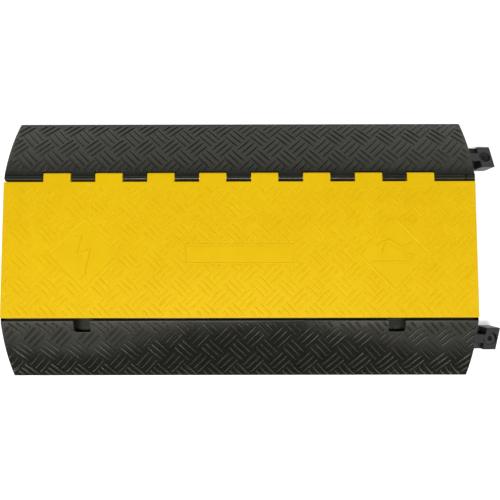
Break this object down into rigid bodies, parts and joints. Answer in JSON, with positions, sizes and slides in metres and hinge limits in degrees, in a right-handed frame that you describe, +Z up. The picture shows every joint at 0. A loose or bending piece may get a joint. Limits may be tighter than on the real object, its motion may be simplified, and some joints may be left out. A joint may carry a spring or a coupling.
{
  "type": "cable protector ramp",
  "caption": "Low drive-over ramp with a hinged tread-plate lid over parallel cable channels and T-shaped end connectors.",
  "frame": {"origin": "middle of the base's underside, at floor level", "axes": "+X along the cable channels, towards the connectors; +Y across the ramp, towards the lid's hinge; +Z up"},
  "size_m": [0.9525, 0.508, 0.0516],
  "materials": {
    "black_rubber": "satin moulded rubber",
    "yellow_plastic": "satin moulded yellow polyurethane",
    "rod_steel": "bright drawn rod",
    "black_plastic": "satin moulded plastic",
    "connector_rubber": "satin moulded rubber",
    "screw_steel": "zinc-plated",
    "insert_brass": "turned"
  },
  "bodies": {
    "base": {"base": "black_rubber", "hinge_rod": "rod_steel", "rod_end_plug": "black_plastic", "far_connector": "connector_rubber", "near_connector": "connector_rubber", "connector_screws": "screw_steel", "threaded_inserts": "insert_brass"},
    "lid": {"lid": "yellow_plastic"}
  },
  "joints": [
    {"name": "lid_hinge", "type": "hinge", "parent": "base", "child": "lid", "pos_m": [0, 0.1325, 0.0435], "axis": [-1, 0, 0], "range_deg": [0, 105]}
  ]
}
